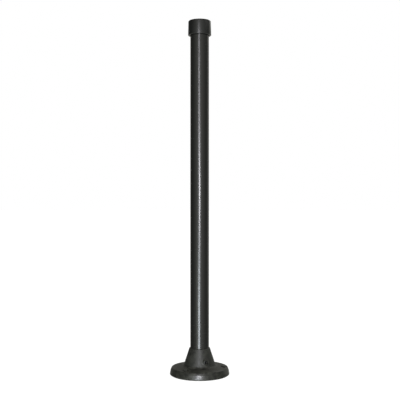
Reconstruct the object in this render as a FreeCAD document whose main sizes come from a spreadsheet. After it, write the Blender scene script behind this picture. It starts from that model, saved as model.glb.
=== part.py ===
"""Rope barrier stanchion: a plain round post held by two set screws in a cast floor base.

The row frame has +Z up and its origin on the floor, under the middle of the base.
All sizes are millimetres, and every driving size is one cell of the sheet "Dimensions".
"""

import FreeCAD, Part
import os

import Sketcher

SIZES = [
    # the whole object
    ("total_height", 950.0, "floor to the top of the cap"),
    # the post, a welded steel tube
    ("tube_diameter", 50.0, "outside diameter of the post"),
    ("tube_wall", 1.5, "wall of the post"),
    ("tube_end_chamfer", 0.4, "deburred edges at both ends of the post"),
    ("weld_bead_width", 2.4, "width of the weld seam inside the post"),
    ("weld_bead_height", 0.35, "how far the weld seam stands into the post"),
    # the base casting
    ("base_diameter", 160.0, "outside of the rim where it meets the floor"),
    ("base_height", 72.0, "floor to the lip of the socket"),
    ("rim_height", 20.2, "floor to the upper edge of the rim"),
    ("rim_draft", 3.8, "how far the rim leans in over its height"),
    ("rim_edge_radius", 4.0, "rounding of the rim's upper edge"),
    ("rim_foot_radius", 1.2, "rounding of the rim's lower edge"),
    ("flange_rise", 4.3, "how much the flange rises from its rim to the foot of the cone"),
    ("cone_spread", 15.7, "growth of the cone's radius from its lip to its foot"),
    ("cone_foot_fillet", 6.0, "cast fillet between cone and flange"),
    ("lip_wall", 2.2, "wall of the socket at its lip"),
    ("lip_radius", 1.2, "rounding of the lip's outer edge"),
    ("socket_clearance", 0.25, "gap between post and socket, on the radius"),
    ("socket_lead_in", 0.6, "chamfer at the mouth of the socket"),
    ("ledge_height", 14.0, "floor to the ledge that the post stands on"),
    ("ledge_width", 4.0, "width of that ledge, inside the post's outer radius"),
    ("dish_depth", 4.0, "depth of the hollow under the base"),
    ("dish_inset", 31.0, "distance from the rim to the edge of that hollow"),
    ("dish_fillet", 2.0, "rounding in the corner of that hollow"),
    # the rubber ring under the base
    ("ring_inset", 3.0, "distance from the rim to the ring's groove"),
    ("ring_groove_width", 6.0, "width of the groove"),
    ("ring_groove_depth", 3.0, "depth of the groove"),
    ("ring_side_gap", 0.1, "gap between the ring and each side of its groove"),
    ("ring_stand_out", 1.5, "how far the ring lifts the casting off the floor"),
    ("ring_edge_radius", 0.7, "rounding of the ring's lower edges"),
    # the holes for floor anchors
    ("anchor_inset", 15.0, "distance from the rim to the anchor holes' centres"),
    ("anchor_hole_diameter", 9.0, "clearance hole for an M8 anchor"),
    ("anchor_seat_diameter", 16.5, "spot-faced seat round each anchor hole"),
    ("anchor_seat_rise", 0.2, "height of the spot-faced seats above the rim's upper edge"),
    # the set screws
    ("screw_height", 39.0, "floor to the axes of the set screws"),
    ("screw_diameter", 8.0, "nominal thread diameter"),
    ("screw_clearance", 0.05, "gap between screw and tapped hole, on the radius"),
    ("screw_angle", 60.0, "turn from +X to each screw's axis, in degrees, one to each side"),
    ("screw_length", 10.0, "length of a set screw"),
    ("screw_tip_gap", 0.05, "gap between a tightened screw and the post"),
    ("screw_end_chamfer", 0.6, "chamfer at the key end"),
    ("screw_point_chamfer", 1.2, "chamfer at the cup point"),
    ("screw_cup_diameter", 4.0, "mouth of the cup in the point"),
    ("screw_cup_depth", 1.0, "depth of that cup"),
    ("hex_key_size", 4.0, "across the flats of the hexagon socket"),
    ("hex_key_depth", 4.0, "depth of the hexagon socket"),
    ("thread_engagement", 11.0, "length of the tapped hole"),
    ("screw_recess_diameter", 10.0, "counterbore round each screw"),
    ("screw_recess_depth", 5.75, "depth of that counterbore under the boss's face"),
    ("boss_face_diameter", 12.4, "flat face of the cast boss round each screw"),
    ("boss_face_chamfer", 0.8, "chamfer round the boss's face"),
    ("boss_draft", 24.0, "draft of the boss's side, in degrees"),
    ("boss_root_depth", 5.0, "wall left between the boss's root and the socket"),
    ("boss_foot_fillet", 2.5, "cast fillet between boss and cone"),
    # the cap
    ("cap_height", 40.5, "mouth of the cap to the top of its crown"),
    ("cap_wall", 5.65, "wall of the cap at its mouth"),
    ("cap_draft", 0.85, "how far the cap's side leans in over its height"),
    ("cap_crown", 4.0, "thickness of the crown in the middle"),
    ("cap_dome", 1.3, "rise of the crown from its edge to its middle"),
    ("cap_shoulder_radius", 3.0, "rounding of the crown's edge"),
    ("cap_mouth_radius", 1.6, "rounding of the mouth's outer edge"),
    ("cap_bore_gap", 0.45, "gap between post and bore, on the radius"),
    ("cap_lead_in", 1.0, "chamfer at the mouth of the bore"),
    ("cap_bead_gap", 0.05, "gap between post and gripping beads, on the radius"),
    ("cap_bead_height", 1.6, "height of one gripping bead"),
    ("cap_bead_first", 8.0, "mouth of the cap to the first bead"),
    ("cap_bead_pitch", 11.0, "distance from bead to bead"),
    ("cap_gate_diameter", 6.0, "dimple left by the moulding gate"),
    ("cap_gate_depth", 0.5, "depth of that dimple"),
]

ANCHOR_COUNT = 3
BEAD_COUNT = 3
SCREWS = [("set_screw_front", -1), ("set_screw_back", 1)]

# Expressions that several features share, written in terms of the sheet's cells.
TUBE_R = "Dimensions.tube_diameter / 2"
BASE_R = "Dimensions.base_diameter / 2"
SOCKET_R = f"({TUBE_R} + Dimensions.socket_clearance)"
LIP_R = f"({SOCKET_R} + Dimensions.lip_wall)"
CONE_FOOT_R = f"({LIP_R} + Dimensions.cone_spread)"
CONE_FOOT_Z = "(Dimensions.rim_height + Dimensions.flange_rise)"
RIM_TOP_R = f"({BASE_R} - Dimensions.rim_draft)"
DRAIN_R = f"({TUBE_R} - Dimensions.ledge_width)"
DISH_R = f"({BASE_R} - Dimensions.dish_inset)"
DISH_Z = "(Dimensions.ring_stand_out + Dimensions.dish_depth)"
GROOVE_OUT_R = f"({BASE_R} - Dimensions.ring_inset)"
GROOVE_IN_R = f"({GROOVE_OUT_R} - Dimensions.ring_groove_width)"
GROOVE_Z = "(Dimensions.ring_stand_out + Dimensions.ring_groove_depth)"
ANCHOR_R = f"({BASE_R} - Dimensions.anchor_inset)"
ANCHOR_SEAT_Z = "(Dimensions.rim_height + Dimensions.anchor_seat_rise)"
RECESS_FLOOR_R = f"({SOCKET_R} + Dimensions.thread_engagement)"
BOSS_FACE_R = f"({RECESS_FLOOR_R} + Dimensions.screw_recess_depth)"
SCREW_R = "(Dimensions.screw_diameter / 2 - Dimensions.screw_clearance)"
TUBE_TOP_Z = "(Dimensions.total_height - Dimensions.cap_crown)"
CAP_MOUTH_Z = "(Dimensions.total_height - Dimensions.cap_height)"
CAP_EDGE_Z = "(Dimensions.total_height - Dimensions.cap_dome)"
CAP_BORE_R = f"({TUBE_R} + Dimensions.cap_bore_gap)"
CAP_MOUTH_R = f"({CAP_BORE_R} + Dimensions.cap_wall)"
CAP_TOP_R = f"({CAP_MOUTH_R} - Dimensions.cap_draft)"
CAP_BEAD_R = f"({TUBE_R} + Dimensions.cap_bead_gap)"


def make_sheet(doc):
    """The driving dimensions: name, value and meaning of each size, one row per size."""
    sheet = doc.addObject("Spreadsheet::Sheet", "Dimensions")
    for row, (alias, size, meaning) in enumerate(SIZES, start=1):
        sheet.set(f"A{row}", alias)
        sheet.set(f"B{row}", str(size))
        sheet.set(f"C{row}", meaning)
        sheet.setAlias(f"B{row}", alias)
    doc.recompute()


def number(owner, expression):
    """What an expression comes to at the sheet's present values."""
    result = owner.evalExpression(expression)
    return float(getattr(result, "Value", result))


def make_body(doc, label):
    body = doc.addObject("PartDesign::Body", label)
    body.Label = label
    return body


def origin_feature(body, role):
    return next(f for f in body.Origin.OriginFeatures if f.Role == role)


def make_sketch(body, name, role, raised=None):
    """An empty sketch on one of the body's origin planes, raised along its normal if asked."""
    sketch = body.newObject("Sketcher::SketchObject", name)
    sketch.AttachmentSupport = [(origin_feature(body, role), "")]
    sketch.MapMode = "FlatFace"
    if raised:
        sketch.setExpression("AttachmentOffset.Base.z", raised)
    return sketch


def make_screw_sketch(body, name):
    """A sketch through the post's axis and the back screw's: its X axis is the screw's axis."""
    sketch = body.newObject("Sketcher::SketchObject", name)
    sketch.AttachmentSupport = [(origin_feature(body, "XZ_Plane"), "")]
    sketch.MapMode = "FlatFace"
    sketch.AttachmentOffset = FreeCAD.Placement(
        FreeCAD.Vector(), FreeCAD.Rotation(FreeCAD.Vector(0, 1, 0), 0)
    )
    sketch.setExpression("AttachmentOffset.Rotation.Angle", "Dimensions.screw_angle * 1 deg")
    sketch.setExpression("AttachmentOffset.Base.y", "Dimensions.screw_height")
    return sketch


def fix_point(sketch, name, geometry, vertex, x, y):
    """Holds one point of a sketch at two expressions, or on an axis where one is zero."""
    for kind, axis, suffix, expression in (
        ("DistanceX", -2, "x", x),
        ("DistanceY", -1, "y", y),
    ):
        if expression == "0":
            sketch.addConstraint(Sketcher.Constraint("PointOnObject", geometry, vertex, axis))
            continue
        index = sketch.addConstraint(
            Sketcher.Constraint(kind, -1, 1, geometry, vertex, number(sketch, expression))
        )
        sketch.renameConstraint(index, f"{name}_{suffix}")
        sketch.setExpression(f"Constraints.{name}_{suffix}", expression)


def draw_outline(sketch, corners):
    """A closed outline of straight lines through named corners, each (name, x, y)."""
    points = [
        FreeCAD.Vector(number(sketch, x), number(sketch, y), 0) for _, x, y in corners
    ]
    count = len(points)
    for start, end in zip(points, points[1:] + points[:1]):
        sketch.addGeometry(Part.LineSegment(start, end), False)
    for line in range(count):
        sketch.addConstraint(
            Sketcher.Constraint("Coincident", line, 2, (line + 1) % count, 1)
        )
    for line, (name, x, y) in enumerate(corners):
        fix_point(sketch, name, line, 1, x, y)


def draw_circle(sketch, name, x, y, radius):
    """A circle with its centre and radius held by expressions."""
    centre = FreeCAD.Vector(number(sketch, x), number(sketch, y), 0)
    circle = sketch.addGeometry(
        Part.Circle(centre, FreeCAD.Vector(0, 0, 1), number(sketch, radius)), False
    )
    fix_point(sketch, name, circle, 3, x, y)
    index = sketch.addConstraint(
        Sketcher.Constraint("Radius", circle, number(sketch, radius))
    )
    sketch.renameConstraint(index, f"{name}_radius")
    sketch.setExpression(f"Constraints.{name}_radius", radius)


def revolve(body, name, sketch, kind="PartDesign::Revolution", axis=None):
    """Turns a sketch all the way round the body's Z axis, or round another axis if given."""
    before = body.Shape.Volume if body.Tip else 0
    feature = body.newObject(kind, name)
    feature.Profile = sketch
    feature.ReferenceAxis = axis or (origin_feature(body, "Z_Axis"), [""])
    feature.Angle = 360
    sketch.Visibility = False
    body.Document.recompute()
    grew = feature.Shape.Volume > before
    if grew == (kind == "PartDesign::Groove"):
        raise RuntimeError(f"{name} did not change the solid as it should")
    return feature


def pad(body, name, sketch, length):
    feature = body.newObject("PartDesign::Pad", name)
    feature.Profile = sketch
    feature.setExpression("Length", length)
    body.Document.recompute()


def pocket(body, name, sketch, length, reverse):
    """Cuts a sketch to a depth, and makes sure that it met the solid."""
    before = body.Shape.Volume
    feature = body.newObject("PartDesign::Pocket", name)
    feature.Profile = sketch
    feature.Reversed = reverse
    feature.setExpression("Length", length)
    body.Document.recompute()
    if not feature.Shape.Volume < before:
        raise RuntimeError(f"{name} cut nothing")
    return feature


def repeat_round(body, name, features, count):
    """The same cuts, evenly spaced round the body's Z axis."""
    before = body.Shape.Volume
    pattern = body.newObject("PartDesign::PolarPattern", name)
    pattern.Originals = features
    pattern.Axis = (origin_feature(body, "Z_Axis"), [""])
    pattern.Angle = 360
    pattern.Occurrences = count
    body.Tip = pattern
    body.Document.recompute()
    if not pattern.Shape.Volume < before:
        raise RuntimeError(f"{name} cut nothing")


def ring_edges(feature, radius, height):
    """Names of a feature's circular edges round Z at that radius and height."""
    found = []
    for index, edge in enumerate(feature.Shape.Edges, start=1):
        if edge.Degenerated or not isinstance(edge.Curve, Part.Circle):
            continue
        curve = edge.Curve
        on_axis = abs(curve.Center.x) < 1e-4 and abs(curve.Center.y) < 1e-4
        if on_axis and abs(curve.Radius - radius) < 1e-3 and abs(curve.Center.z - height) < 1e-3:
            found.append(f"Edge{index}")
    if not found:
        raise RuntimeError(f"{feature.Name} has no round edge of radius {radius} at {height}")
    return found


def dress(body, name, kind, edges, property_name, size):
    """A fillet or chamfer of the body's tip along the named edges."""
    base = body.Tip
    feature = body.newObject(kind, name)
    feature.Base = (base, edges)
    feature.setExpression(property_name, size)
    body.Document.recompute()


def edges_at(body, places):
    """Names of the tip's edges round Z that lie at each (radius, height) expression."""
    tip = body.Tip
    return [
        edge
        for radius, height in places
        for edge in ring_edges(tip, number(tip, radius), number(tip, height))
    ]


def round_ring(body, name, places, size):
    dress(body, name, "PartDesign::Fillet", edges_at(body, places), "Radius", size)


def break_ring(body, name, places, size):
    dress(body, name, "PartDesign::Chamfer", edges_at(body, places), "Size", size)


def make_base_casting(doc):
    """The cast iron base: a floor flange with a conical socket for the post."""
    body = make_body(doc, "base_casting")
    section = make_sketch(body, "casting_section", "XZ_Plane")
    draw_outline(
        section,
        [
            ("drain_bottom", DRAIN_R, DISH_Z),
            ("drain_top", DRAIN_R, "Dimensions.ledge_height"),
            ("ledge_outer", SOCKET_R, "Dimensions.ledge_height"),
            ("lip_inner", SOCKET_R, "Dimensions.base_height"),
            ("lip_outer", LIP_R, "Dimensions.base_height"),
            ("cone_foot", CONE_FOOT_R, CONE_FOOT_Z),
            ("rim_top", RIM_TOP_R, "Dimensions.rim_height"),
            ("rim_bottom", BASE_R, "Dimensions.ring_stand_out"),
            ("groove_outer_mouth", GROOVE_OUT_R, "Dimensions.ring_stand_out"),
            ("groove_outer_corner", GROOVE_OUT_R, GROOVE_Z),
            ("groove_inner_corner", GROOVE_IN_R, GROOVE_Z),
            ("groove_inner_mouth", GROOVE_IN_R, "Dimensions.ring_stand_out"),
            ("dish_mouth", DISH_R, "Dimensions.ring_stand_out"),
            ("dish_corner", DISH_R, DISH_Z),
        ],
    )
    revolve(body, "casting_blank", section)
    for name, radius, height, size in (
        ("cone_foot_rounding", CONE_FOOT_R, CONE_FOOT_Z, "cone_foot_fillet"),
        ("rim_edge_rounding", RIM_TOP_R, "Dimensions.rim_height", "rim_edge_radius"),
        ("rim_foot_rounding", BASE_R, "Dimensions.ring_stand_out", "rim_foot_radius"),
        ("dish_rounding", DISH_R, DISH_Z, "dish_fillet"),
        ("lip_rounding", LIP_R, "Dimensions.base_height", "lip_radius"),
    ):
        round_ring(body, name, [(radius, height)], f"Dimensions.{size}")
    break_ring(body, "socket_mouth", [(SOCKET_R, "Dimensions.base_height")], "Dimensions.socket_lead_in")
    add_screw_bosses(body)
    drill_anchor_holes(body)
    drill_screw_holes(body)
    return body


def drill_anchor_holes(body):
    """Three spot-faced clearance holes through the flange, the first of them on +X."""
    seat = make_sketch(body, "anchor_seat_circle", "XY_Plane", ANCHOR_SEAT_Z)
    draw_circle(seat, "seat", ANCHOR_R, "0", "Dimensions.anchor_seat_diameter / 2")
    seat_cut = pocket(body, "anchor_seat", seat, "Dimensions.base_height", True)
    hole = make_sketch(body, "anchor_hole_circle", "XY_Plane")
    draw_circle(hole, "hole", ANCHOR_R, "0", "Dimensions.anchor_hole_diameter / 2")
    hole_cut = pocket(body, "anchor_hole", hole, "Dimensions.base_height", True)
    repeat_round(body, "anchor_holes", [seat_cut, hole_cut], ANCHOR_COUNT)


def add_screw_bosses(body):
    """A drafted boss on each side of the cone, with a cast fillet at its foot."""
    section = make_screw_sketch(body, "boss_section")
    root_x = f"({SOCKET_R} + Dimensions.boss_root_depth)"
    face_r = "(Dimensions.boss_face_diameter / 2)"
    edge_x = f"({BOSS_FACE_R} - Dimensions.boss_face_chamfer)"
    edge_r = f"({face_r} + Dimensions.boss_face_chamfer)"
    growth = f"({edge_x} - {root_x}) * tan(Dimensions.boss_draft * 1 deg)"
    draw_outline(
        section,
        [
            ("root_middle", root_x, "0"),
            ("face_middle", BOSS_FACE_R, "0"),
            ("face_edge", BOSS_FACE_R, face_r),
            ("side_top", edge_x, edge_r),
            ("side_root", root_x, f"{edge_r} + {growth}"),
        ],
    )
    boss = revolve(body, "screw_boss", section, axis=(section, ["H_Axis"]))
    mirror(body, "screw_bosses", [boss])
    tip = body.Tip
    edges = [
        f"Edge{index}"
        for index, edge in enumerate(tip.Shape.Edges, start=1)
        if not edge.Degenerated and is_boss_foot(tip, edge)
    ]
    foot_fillet = "Dimensions.boss_foot_fillet"
    dress(body, "boss_foot_rounding", "PartDesign::Fillet", edges, "Radius", foot_fillet)


def is_boss_foot(tip, edge):
    """True for an edge where a boss's side meets the cone."""
    if isinstance(edge.Curve, (Part.Circle, Part.Line)):
        return False
    middle = edge.valueAt((edge.FirstParameter + edge.LastParameter) / 2)
    reach = (middle.x**2 + middle.y**2) ** 0.5
    return reach > number(tip, f"{SOCKET_R} + Dimensions.boss_root_depth") + 0.5


def mirror(body, name, features):
    """The same features on the other side of the body's XZ plane."""
    before = body.Shape.Volume
    other_side = body.newObject("PartDesign::Mirrored", name)
    other_side.Originals = features
    other_side.MirrorPlane = (origin_feature(body, "XZ_Plane"), [""])
    body.Tip = other_side
    body.Document.recompute()
    if abs(other_side.Shape.Volume - before) < 1:
        raise RuntimeError(f"{name} changed nothing")


def drill_screw_holes(body):
    """Tapped holes through both bosses into the socket, counterbored from outside."""
    section = make_screw_sketch(body, "screw_hole_section")
    tapped_r = "(Dimensions.screw_diameter / 2)"
    recess_r = "(Dimensions.screw_recess_diameter / 2)"
    draw_outline(
        section,
        [
            ("inner_middle", DRAIN_R, "0"),
            ("inner_edge", DRAIN_R, tapped_r),
            ("tapped_end", RECESS_FLOOR_R, tapped_r),
            ("recess_floor", RECESS_FLOOR_R, recess_r),
            ("outer_edge", BASE_R, recess_r),
            ("outer_middle", BASE_R, "0"),
        ],
    )
    hole = revolve(body, "screw_hole", section, "PartDesign::Groove", (section, ["H_Axis"]))
    mirror(body, "screw_holes", [hole])


def make_floor_ring(doc):
    """The rubber ring that the casting stands on, held in a groove under the rim."""
    body = make_body(doc, "floor_ring")
    section = make_sketch(body, "ring_section", "XZ_Plane")
    inner = f"({GROOVE_IN_R} + Dimensions.ring_side_gap)"
    outer = f"({GROOVE_OUT_R} - Dimensions.ring_side_gap)"
    draw_outline(
        section,
        [
            ("inner_bottom", inner, "0"),
            ("outer_bottom", outer, "0"),
            ("outer_top", outer, GROOVE_Z),
            ("inner_top", inner, GROOVE_Z),
        ],
    )
    revolve(body, "ring", section)
    round_ring(body, "ring_rounding", [(inner, "0"), (outer, "0")], "Dimensions.ring_edge_radius")
    return body


def make_post_tube(doc):
    """The post: a round steel tube with its weld seam left inside."""
    body = make_body(doc, "post_tube")
    inner = f"({TUBE_R} - Dimensions.tube_wall)"
    length = f"{TUBE_TOP_Z} - Dimensions.ledge_height"
    rings = make_sketch(body, "tube_rings", "XY_Plane", "Dimensions.ledge_height")
    draw_circle(rings, "outside", "0", "0", TUBE_R)
    draw_circle(rings, "inside", "0", "0", inner)
    pad(body, "tube", rings, length)
    ends = [
        (radius, height)
        for radius in (TUBE_R, inner)
        for height in ("Dimensions.ledge_height", TUBE_TOP_Z)
    ]
    break_ring(body, "deburred_ends", ends, "Dimensions.tube_end_chamfer")
    bead = make_sketch(
        body, "weld_bead_section", "XY_Plane", "Dimensions.ledge_height + Dimensions.tube_end_chamfer"
    )
    bead_root = f"{TUBE_R} - Dimensions.tube_wall / 2"
    bead_face = f"{inner} - Dimensions.weld_bead_height"
    half = "Dimensions.weld_bead_width / 2"
    draw_bead(bead, bead_root, bead_face, half)
    pad(body, "weld_bead", bead, f"{length} - 2 * Dimensions.tube_end_chamfer")
    return body


def draw_bead(sketch, root, face, half):
    """The weld seam's section: a shallow hump on +X, from inside the wall to its crest."""
    corners = [
        ("root_low", root, half),
        ("face_low", face, f"{half} / 2"),
    ]
    points = [FreeCAD.Vector(number(sketch, x), -number(sketch, y), 0) for _, x, y in corners]
    points += [FreeCAD.Vector(p.x, -p.y, 0) for p in reversed(points)]
    for start, end in zip(points, points[1:] + points[:1]):
        sketch.addGeometry(Part.LineSegment(start, end), False)
    for line in range(4):
        sketch.addConstraint(Sketcher.Constraint("Coincident", line, 2, (line + 1) % 4, 1))
    sketch.addConstraint(Sketcher.Constraint("Symmetric", 0, 1, 2, 2, -1))
    sketch.addConstraint(Sketcher.Constraint("Symmetric", 0, 2, 1, 2, -1))
    fix_point(sketch, "root", 2, 2, root, half)
    fix_point(sketch, "face", 1, 2, face, f"{half} / 2")


def make_top_cap(doc):
    """The moulded cap that pushes over the top of the post."""
    body = make_body(doc, "top_cap")
    section = make_sketch(body, "cap_section", "XZ_Plane")
    draw_cap_section(section)
    revolve(body, "cap_shell", section)
    break_ring(body, "bore_lead_in", [(CAP_BORE_R, CAP_MOUTH_Z)], "Dimensions.cap_lead_in")
    round_ring(body, "mouth_rounding", [(CAP_MOUTH_R, CAP_MOUTH_Z)], "Dimensions.cap_mouth_radius")
    round_ring(body, "shoulder_rounding", [(CAP_TOP_R, CAP_EDGE_Z)], "Dimensions.cap_shoulder_radius")
    add_grip_beads(body)
    mark_gate(body)
    return body


def draw_cap_section(sketch):
    """Half of the cap's section: straight skirt with draft, flat bore, gently domed crown."""
    corners = [
        ("crown_top", "0", "Dimensions.total_height"),
        ("crown_under", "0", TUBE_TOP_Z),
        ("bore_top", CAP_BORE_R, TUBE_TOP_Z),
        ("bore_mouth", CAP_BORE_R, CAP_MOUTH_Z),
        ("skirt_mouth", CAP_MOUTH_R, CAP_MOUTH_Z),
        ("skirt_top", CAP_TOP_R, CAP_EDGE_Z),
    ]
    points = [FreeCAD.Vector(number(sketch, x), number(sketch, y), 0) for _, x, y in corners]
    for start, end in zip(points, points[1:]):
        sketch.addGeometry(Part.LineSegment(start, end), False)
    reach = points[-1].x
    rise = points[0].y - points[-1].y
    dome_radius = (reach * reach + rise * rise) / (2 * rise)
    centre_z = points[0].y - dome_radius
    halfway_x = reach / 2
    halfway = FreeCAD.Vector(
        halfway_x, centre_z + (dome_radius**2 - halfway_x**2) ** 0.5, 0
    )
    dome = sketch.addGeometry(Part.Arc(points[0], halfway, points[-1]), False)
    for line in range(4):
        sketch.addConstraint(Sketcher.Constraint("Coincident", line, 2, line + 1, 1))
    for line, (name, x, y) in enumerate(corners[:-1]):
        fix_point(sketch, name, line, 1, x, y)
    fix_point(sketch, "skirt_top", 4, 2, CAP_TOP_R, CAP_EDGE_Z)
    arc_start = 1 if sketch.getPoint(dome, 1).sub(points[0]).Length < 1e-3 else 2
    sketch.addConstraint(Sketcher.Constraint("Coincident", dome, arc_start, 0, 1))
    sketch.addConstraint(Sketcher.Constraint("Coincident", dome, 3 - arc_start, 4, 2))
    sketch.addConstraint(Sketcher.Constraint("PointOnObject", dome, 3, -2))


def add_grip_beads(body):
    """Rings inside the bore that grip the post, one above the other."""
    first = f"({CAP_MOUTH_Z} + Dimensions.cap_bead_first)"
    height = "Dimensions.cap_bead_height"
    bead = make_sketch(body, "bead_section", "XZ_Plane")
    inside_skirt = f"{CAP_BORE_R} + Dimensions.cap_bore_gap"
    draw_outline(
        bead,
        [
            ("root_bottom", inside_skirt, f"{first} - {height} * 0.25"),
            ("crest_bottom", CAP_BEAD_R, f"{first} + {height} * 0.3"),
            ("crest_top", CAP_BEAD_R, f"{first} + {height} * 0.7"),
            ("root_top", inside_skirt, f"{first} + {height} * 1.25"),
        ],
    )
    ring = revolve(body, "grip_bead", bead)
    pattern = body.newObject("PartDesign::LinearPattern", "grip_beads")
    pattern.Originals = [ring]
    pattern.Direction = (origin_feature(body, "Z_Axis"), [""])
    pattern.setExpression("Length", f"Dimensions.cap_bead_pitch * {BEAD_COUNT - 1}")
    pattern.Occurrences = BEAD_COUNT
    body.Tip = pattern
    body.Document.recompute()


def mark_gate(body):
    """The shallow dimple in the middle of the crown where the mould was filled."""
    floor_z = "Dimensions.total_height - Dimensions.cap_gate_depth"
    gate = make_sketch(body, "gate_circle", "XY_Plane", floor_z)
    draw_circle(gate, "gate", "0", "0", "Dimensions.cap_gate_diameter / 2")
    pocket(body, "gate_dimple", gate, "Dimensions.cap_height", True)


def make_set_screw(doc, label, side):
    """A socket set screw with a cup point, lying along the radius on that side of the XZ plane.

    It is built upright, point down, and its placement lays it into its tapped hole.
    """
    body = make_body(doc, label)
    end = make_sketch(body, "shank_circle", "XY_Plane")
    draw_circle(end, "shank", "0", "0", SCREW_R)
    pad(body, "shank", end, "Dimensions.screw_length")
    key_end = [(SCREW_R, "Dimensions.screw_length")]
    break_ring(body, "point_chamfer", [(SCREW_R, "0")], "Dimensions.screw_point_chamfer")
    break_ring(body, "key_end_chamfer", key_end, "Dimensions.screw_end_chamfer")
    cup = make_sketch(body, "cup_section", "XZ_Plane")
    draw_outline(
        cup,
        [
            ("mouth_middle", "0", "0"),
            ("mouth_edge", "Dimensions.screw_cup_diameter / 2", "0"),
            ("deepest", "0", "Dimensions.screw_cup_depth"),
        ],
    )
    revolve(body, "cup_point", cup, "PartDesign::Groove")
    hexagon = make_sketch(
        body, "key_hexagon", "XY_Plane", "Dimensions.screw_length - Dimensions.hex_key_depth"
    )
    draw_hexagon(hexagon, "Dimensions.hex_key_size / 2")
    pocket(body, "key_socket", hexagon, "Dimensions.hex_key_depth + 1", True)
    place_screw(body, side)
    return body


def draw_hexagon(sketch, flat_distance):
    """A regular hexagon round the sketch's origin, given by the distance to its flats."""
    corner = number(sketch, flat_distance) / (3**0.5 / 2)
    turn = FreeCAD.Rotation(FreeCAD.Vector(0, 0, 1), 60)
    points = [FreeCAD.Vector(corner, 0, 0)]
    for _ in range(5):
        points.append(turn.multVec(points[-1]))
    for start, end in zip(points, points[1:] + points[:1]):
        sketch.addGeometry(Part.LineSegment(start, end), False)
    round_corners = sketch.addGeometry(
        Part.Circle(FreeCAD.Vector(0, 0, 0), FreeCAD.Vector(0, 0, 1), corner), True
    )
    sketch.addConstraint(Sketcher.Constraint("Coincident", round_corners, 3, -1, 1))
    for line in range(6):
        sketch.addConstraint(Sketcher.Constraint("Coincident", line, 2, (line + 1) % 6, 1))
        sketch.addConstraint(Sketcher.Constraint("PointOnObject", line, 1, round_corners))
    for line in range(1, 6):
        sketch.addConstraint(Sketcher.Constraint("Equal", 0, line))
    sketch.addConstraint(Sketcher.Constraint("PointOnObject", 0, 1, -1))
    index = sketch.addConstraint(Sketcher.Constraint("Radius", round_corners, corner))
    sketch.renameConstraint(index, "corner_radius")
    sketch.setExpression("Constraints.corner_radius", f"{flat_distance} / cos(30 deg)")


def place_screw(body, side):
    """Turns an upright screw to point at the post from that side, just clear of it."""
    tip = f"({TUBE_R} + Dimensions.screw_tip_gap)"
    angle = number(body, "Dimensions.screw_angle") * side
    body.Placement.Rotation = FreeCAD.Rotation(FreeCAD.Vector(0, 0, 1), angle).multiply(
        FreeCAD.Rotation(FreeCAD.Vector(0, 1, 0), 90)
    )
    turn = f"Dimensions.screw_angle * {side} deg"
    body.setExpression(".Placement.Base.x", f"{tip} * cos({turn})")
    body.setExpression(".Placement.Base.y", f"{tip} * sin({turn})")
    body.setExpression(".Placement.Base.z", "Dimensions.screw_height")


def check(doc, bodies):
    """Stops before anything is written if a feature failed or a shape is unsound."""
    for item in doc.Objects:
        if "Invalid" in item.State or "Error" in item.State:
            raise RuntimeError(f"{item.Name} failed: {item.State}")
    for body in bodies:
        shape = body.Shape
        if shape.isNull() or not shape.isValid() or len(shape.Solids) != 1:
            raise RuntimeError(f"{body.Label} is not one valid solid")


def main():
    doc = FreeCAD.newDocument("stanchion")
    make_sheet(doc)
    bodies = [
        make_base_casting(doc),
        make_floor_ring(doc),
        make_post_tube(doc),
        make_top_cap(doc),
    ]
    bodies += [make_set_screw(doc, label, side) for label, side in SCREWS]
    doc.recompute()
    check(doc, bodies)
    os.makedirs("parts", exist_ok=True)
    for body in bodies:
        body.Shape.exportStep(f"parts/{body.Label}.step")
        print(f"{body.Label}: {body.Shape.Volume / 1000:.2f} cm3")


main()
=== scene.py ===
"""Looks of a rope barrier stanchion: a powder-coated post with a soft cap in a cast iron floor base.

Every length is in metres in the row frame: +Z up, origin on the floor under the base.
"""

import math

import bmesh
import bpy
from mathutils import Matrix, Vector


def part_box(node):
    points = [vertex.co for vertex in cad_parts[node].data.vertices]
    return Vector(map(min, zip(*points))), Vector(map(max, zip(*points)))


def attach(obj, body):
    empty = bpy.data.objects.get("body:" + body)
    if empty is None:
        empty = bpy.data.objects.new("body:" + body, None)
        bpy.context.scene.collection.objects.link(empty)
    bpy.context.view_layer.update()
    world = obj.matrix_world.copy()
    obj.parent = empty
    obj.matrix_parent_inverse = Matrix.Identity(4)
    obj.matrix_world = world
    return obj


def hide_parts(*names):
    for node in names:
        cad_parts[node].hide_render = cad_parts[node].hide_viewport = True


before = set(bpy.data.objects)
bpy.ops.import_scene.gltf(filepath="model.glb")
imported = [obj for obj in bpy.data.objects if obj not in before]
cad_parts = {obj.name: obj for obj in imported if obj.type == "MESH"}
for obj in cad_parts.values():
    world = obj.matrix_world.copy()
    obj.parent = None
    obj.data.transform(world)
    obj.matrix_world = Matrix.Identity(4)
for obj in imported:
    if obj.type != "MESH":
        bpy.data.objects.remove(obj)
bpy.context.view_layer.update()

MM = 0.001
TURN = 2 * math.pi

# ---------------------------------------------------------------- sizes
# Heights and outer radii are read from the frame; the others are the CAD model's own sizes.
CASTING_LOW, CASTING_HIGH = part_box("base_casting")
RING_LOW, RING_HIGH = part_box("floor_ring")
TUBE_LOW, TUBE_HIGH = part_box("post_tube")
CAP_LOW, CAP_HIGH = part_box("top_cap")

TUBE_R = (TUBE_HIGH.x - TUBE_LOW.x) / 2
TUBE_BORE_R = TUBE_R - 1.5 * MM
TUBE_EDGE = 0.4 * MM
WELD_BEAD_RISE = 0.35 * MM

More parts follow.
